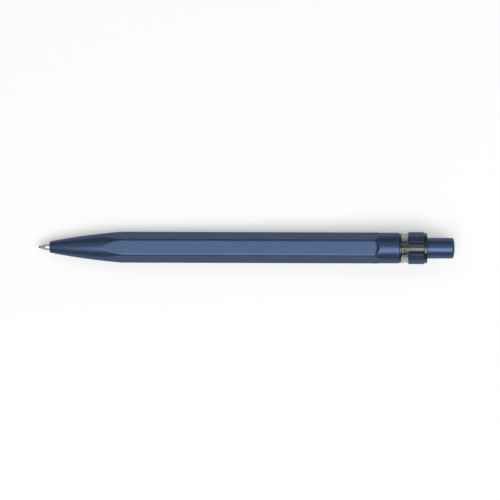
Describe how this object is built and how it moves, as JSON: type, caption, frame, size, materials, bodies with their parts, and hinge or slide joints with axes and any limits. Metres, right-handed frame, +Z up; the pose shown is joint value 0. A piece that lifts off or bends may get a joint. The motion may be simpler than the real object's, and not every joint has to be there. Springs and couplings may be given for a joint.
{
  "type": "ballpoint pen",
  "caption": "Push-button ballpoint pen with a hexagonal navy barrel, tapering nose, clear mechanism band, split clip collar and sliding refill with a rolling ball point.",
  "frame": {"origin": "below the middle of the pen, in the plane of the clip arm's outer face", "axes": "+X along the pen from the point to the button, +Z up out of the flat that faces the camera, away from the clip"},
  "size_m": [0.14, 0.0108, 0.0123],
  "materials": {
    "barrel_shell": "satin navy with a faint metallic sheen",
    "smoky_clear": "polished, clear with a smoky tint",
    "clip_navy": "satin navy with a faint metallic sheen",
    "end_ring_black": "glossy, almost black",
    "button_navy": "satin navy with a faint metallic sheen",
    "plunger_grey": "plain moulded, dark grey",
    "cam_white": "plain moulded acetal, white",
    "sleeve_black": "plain moulded acetal, black",
    "spring_steel": "drawn wire",
    "ball_carbide": "polished dark grey",
    "tip_metal": "turned and bright",
    "holder_brass": "turned",
    "tube_plastic": "milky and translucent",
    "ink_blue": "wet ink",
    "follower_grease": "clear grease",
    "plug_plastic": "plain moulded, white"
  },
  "bodies": {
    "barrel": {"barrel": "barrel_shell", "rim_ring": "end_ring_black", "mechanism_housing": "smoky_clear", "cam_sleeve": "sleeve_black", "clip_collar": "clip_navy", "end_ring": "end_ring_black", "return_spring": "spring_steel"},
    "button": {"push_button": "button_navy", "cam_plunger": "plunger_grey"},
    "refill": {"ink_tube": "tube_plastic", "ink_column": "ink_blue", "ink_follower": "follower_grease", "refill_plug": "plug_plastic", "tip_holder": "holder_brass", "writing_tip": "tip_metal"},
    "rotor": {"cam_rotor": "cam_white"},
    "ball": {"writing_ball": "ball_carbide"},
    "clip": {"clip_arm": "clip_navy"}
  },
  "joints": [
    {"name": "button_press", "type": "slide", "parent": "barrel", "child": "button", "axis": [1, 0, 0], "range_m": [-0.001, 0.0046]},
    {"name": "refill_slide", "type": "slide", "parent": "barrel", "child": "refill", "axis": [1, 0, 0], "range_m": [-0.001, 0.0046], "deforming": ["return_spring"]},
    {"name": "rotor_turn", "type": "hinge", "parent": "refill", "child": "rotor", "pos_m": [0.0375, 0, 0.0071], "axis": [1, 0, 0], "range_deg": [-3.95, 18.05]},
    {"name": "ball_roll", "type": "hinge", "parent": "refill", "child": "ball", "pos_m": [-0.0695, 0, 0.0071], "axis": [0, 1, 0], "continuous": true},
    {"name": "clip_flex", "type": "hinge", "parent": "barrel", "child": "clip", "pos_m": [0.0553, 0, 0.00065], "axis": [0, -1, 0], "range_deg": [0, 4], "stiffness_Nm_per_rad": 1.8}
  ],
  "couplings": [
    {"joint": "refill_slide", "follows": "button_press", "ratio": 1},
    {"joint": "rotor_turn", "follows": "button_press", "rad_per_m": 68.296}
  ]
}
